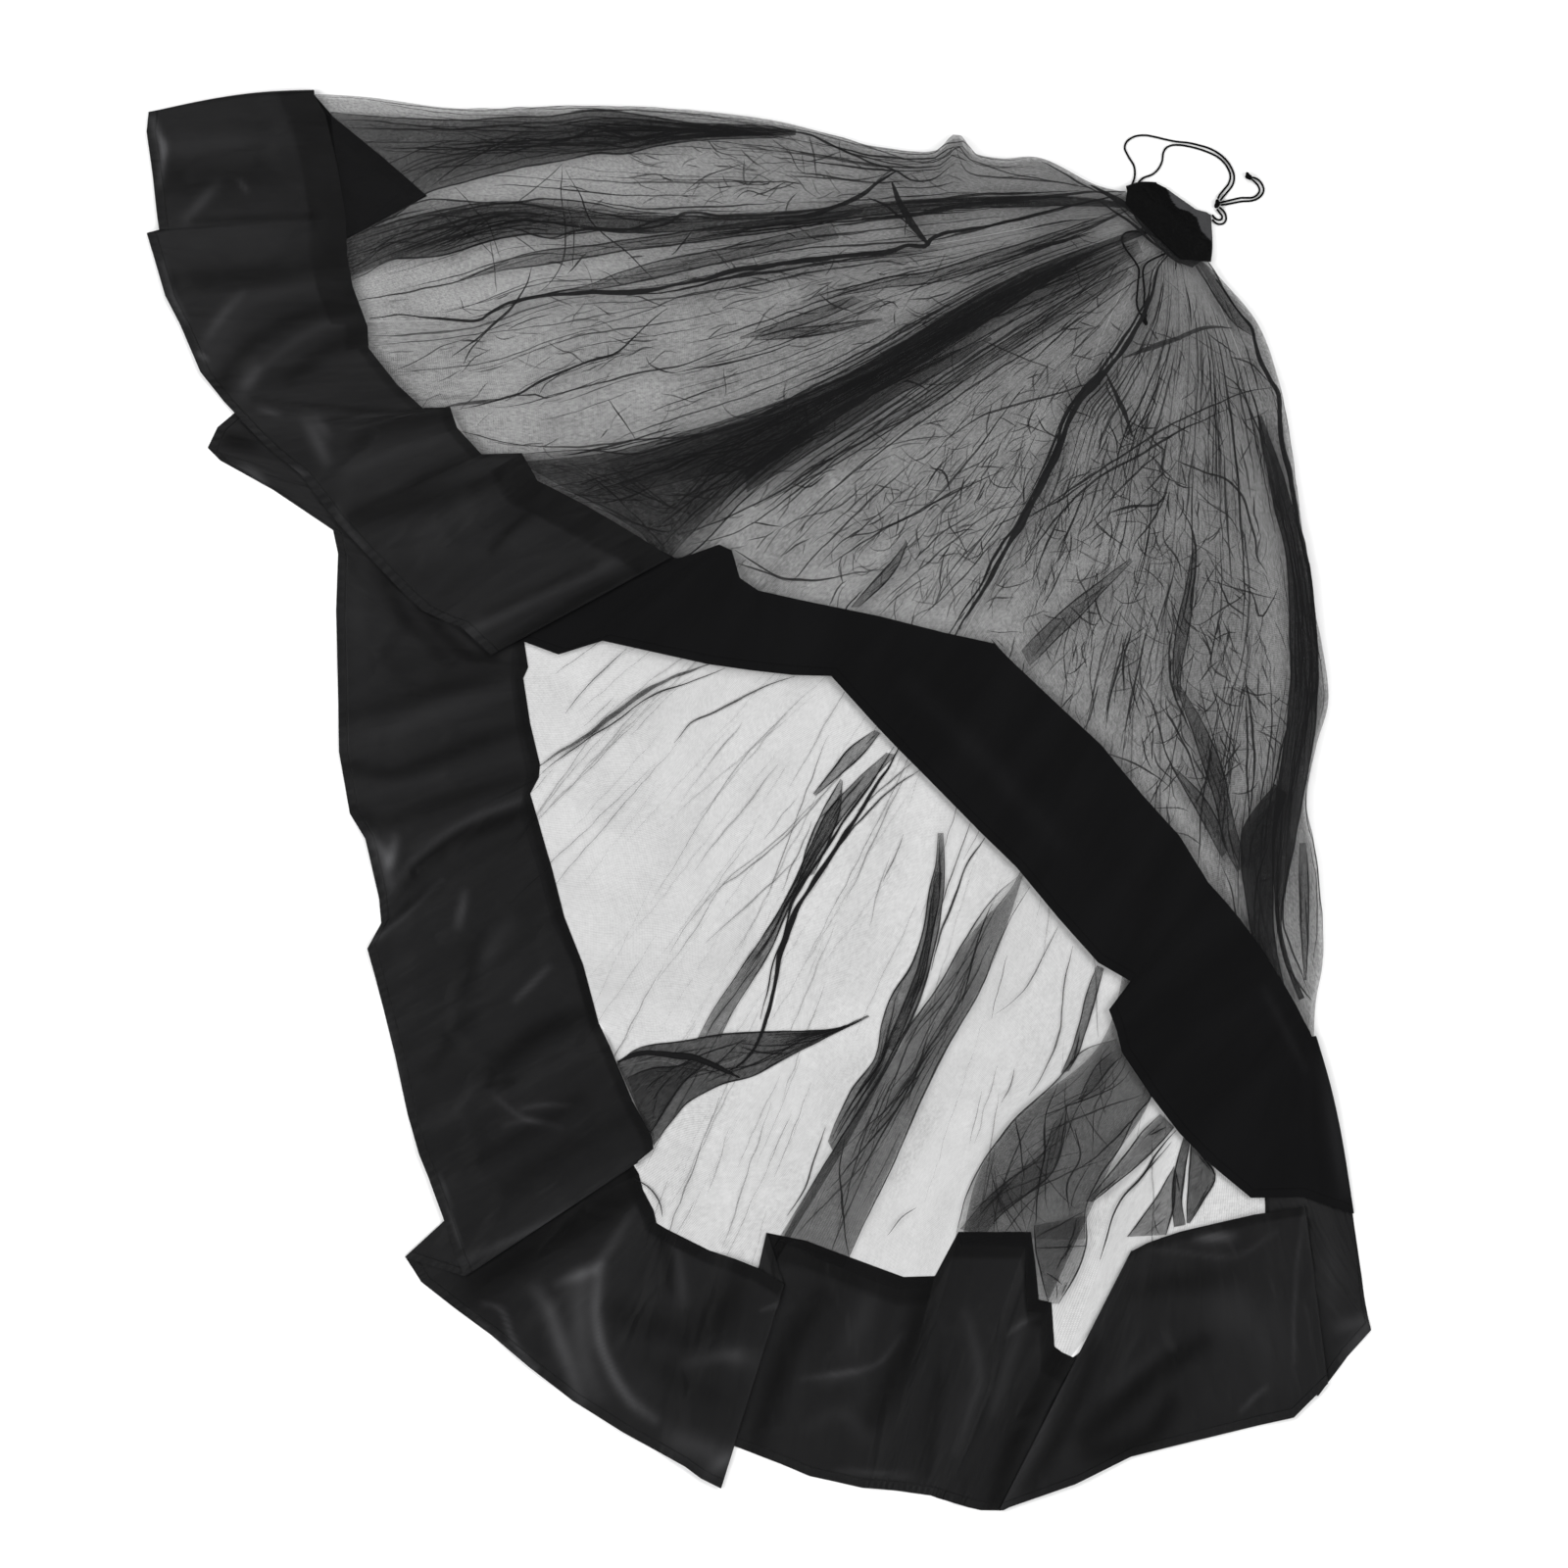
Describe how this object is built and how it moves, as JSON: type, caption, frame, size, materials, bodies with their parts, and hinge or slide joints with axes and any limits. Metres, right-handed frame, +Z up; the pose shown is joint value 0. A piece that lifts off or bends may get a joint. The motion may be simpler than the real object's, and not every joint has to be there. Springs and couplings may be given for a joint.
{
  "type": "mosquito net tent",
  "caption": "Hanging mosquito net tent with a wide woven border, gathered to a corded top and laid out folded flat.",
  "frame": {"origin": "middle of the layout's bounding box, on the surface it lies on", "axes": "+Z up from the surface, +X to the right of the layout, +Y towards its upper edge, where the gathered top lies"},
  "size_m": [1.4988, 1.7346, 0.0174],
  "materials": {
    "net": "fine sheer mesh",
    "taffeta": "smooth satin sheen",
    "cord": "braided, matt"
  },
  "bodies": {
    "root": {"border": "taffeta", "net_left_panel": "net", "net_upper_panel": "net", "net_lower_panel": "net", "net_right_panel": "net", "cap": "taffeta", "hang_cord_outer": "cord", "hang_cord_inner": "cord", "tail_cord_upper": "cord", "tail_cord_lower": "cord", "tip_loop_inner": "cord", "tip_loop_outer": "cord", "inside_cord_left": "cord", "inside_cord_right": "cord", "hang_knot": "cord", "end_knot": "cord", "inside_knot": "cord"}
  },
  "joints": []
}
